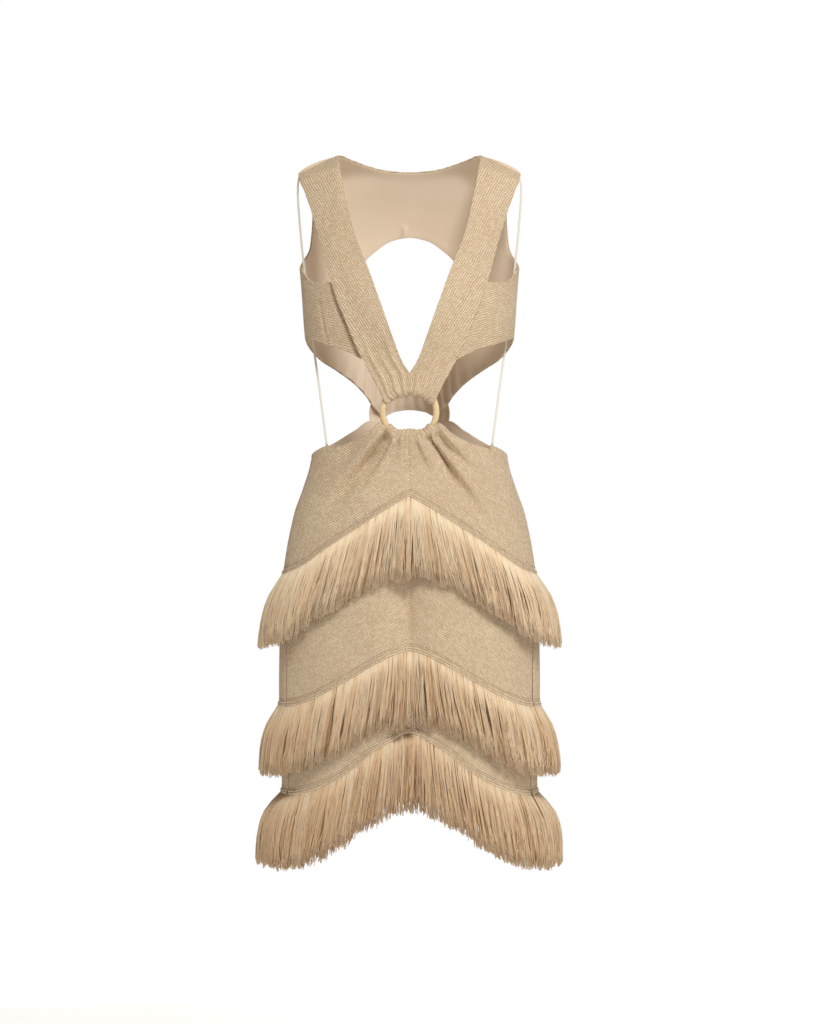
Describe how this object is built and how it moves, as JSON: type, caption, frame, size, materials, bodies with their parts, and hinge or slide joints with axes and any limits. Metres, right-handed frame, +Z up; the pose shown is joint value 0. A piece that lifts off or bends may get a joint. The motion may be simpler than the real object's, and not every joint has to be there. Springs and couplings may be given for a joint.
{
  "type": "fringed dress",
  "caption": "Sleeveless woven dress with a deep V front, an open back, side cut-outs, a resin ring at the waist and tiers of long thread fringe on a straight skirt.",
  "frame": {"origin": "midway between the tops of the two shoulder seams, where the wearer's shoulders hold the dress up", "axes": "+Z up along the dress, from hem to shoulder; +Y from the front of the dress to its back; +X to the viewer's right when facing the front"},
  "size_m": [0.4484, 0.2608, 1.0493],
  "materials": {
    "woven_cloth": "coarse matt basket weave of natural straw-coloured yarn",
    "lining": "smooth fine cloth with a low sheen",
    "fringe": "matt loose threads in mixed straw tones",
    "ring": "polished cream resin",
    "ribbon": "narrow off-white satin ribbon"
  },
  "bodies": {
    "root": {"ring": "ring", "front_strap_l": "woven_cloth", "front_strap_r": "woven_cloth", "front_side_l": "woven_cloth", "front_side_r": "woven_cloth", "bodice_back": "woven_cloth", "bodice_back_lining": "lining", "back_tab_l": "lining", "back_tab_r": "lining", "skirt_front": "woven_cloth", "skirt_back": "woven_cloth", "skirt_back_lining": "lining", "fringe_top_front": "fringe", "fringe_top_back": "fringe", "fringe_mid_front": "fringe", "fringe_mid_back": "fringe", "fringe_low_front": "fringe", "fringe_low_back": "fringe", "hanger_ribbon_l": "ribbon", "hanger_ribbon_r": "ribbon"}
  },
  "joints": []
}
